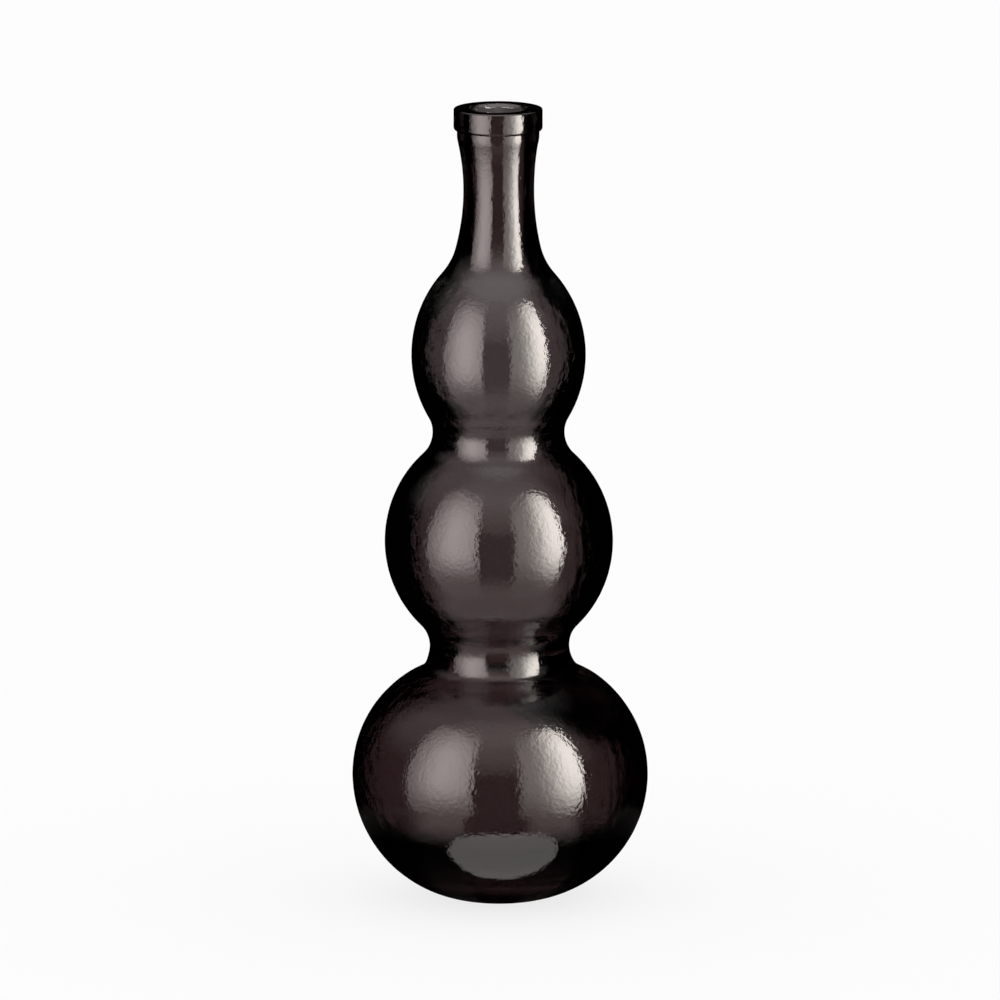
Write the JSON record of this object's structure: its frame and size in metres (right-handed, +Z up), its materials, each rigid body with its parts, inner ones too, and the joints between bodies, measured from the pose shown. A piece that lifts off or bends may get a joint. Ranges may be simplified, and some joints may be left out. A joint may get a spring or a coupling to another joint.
{
  "type": "triple gourd bottle vase",
  "caption": "Smoked glass bottle vase: stacked round bulbs that get smaller upwards, a waisted neck with a straight bore, and a ring collar around the mouth.",
  "frame": {"origin": "on the table, at the centre of the foot's bearing ring", "axes": "+Z up along the axis of the vase, out of its mouth; +X and +Y are alike because it is round"},
  "size_m": [0.1332, 0.1332, 0.36],
  "materials": {
    "smoked_glass": "smooth fire-polished outside, wavy inside, grey-brown smoke tint"
  },
  "bodies": {
    "root": {"base": "smoked_glass", "lower_bulb": "smoked_glass", "middle_bulb": "smoked_glass", "upper_bulb": "smoked_glass", "neck": "smoked_glass", "lip_collar": "smoked_glass"}
  },
  "joints": []
}
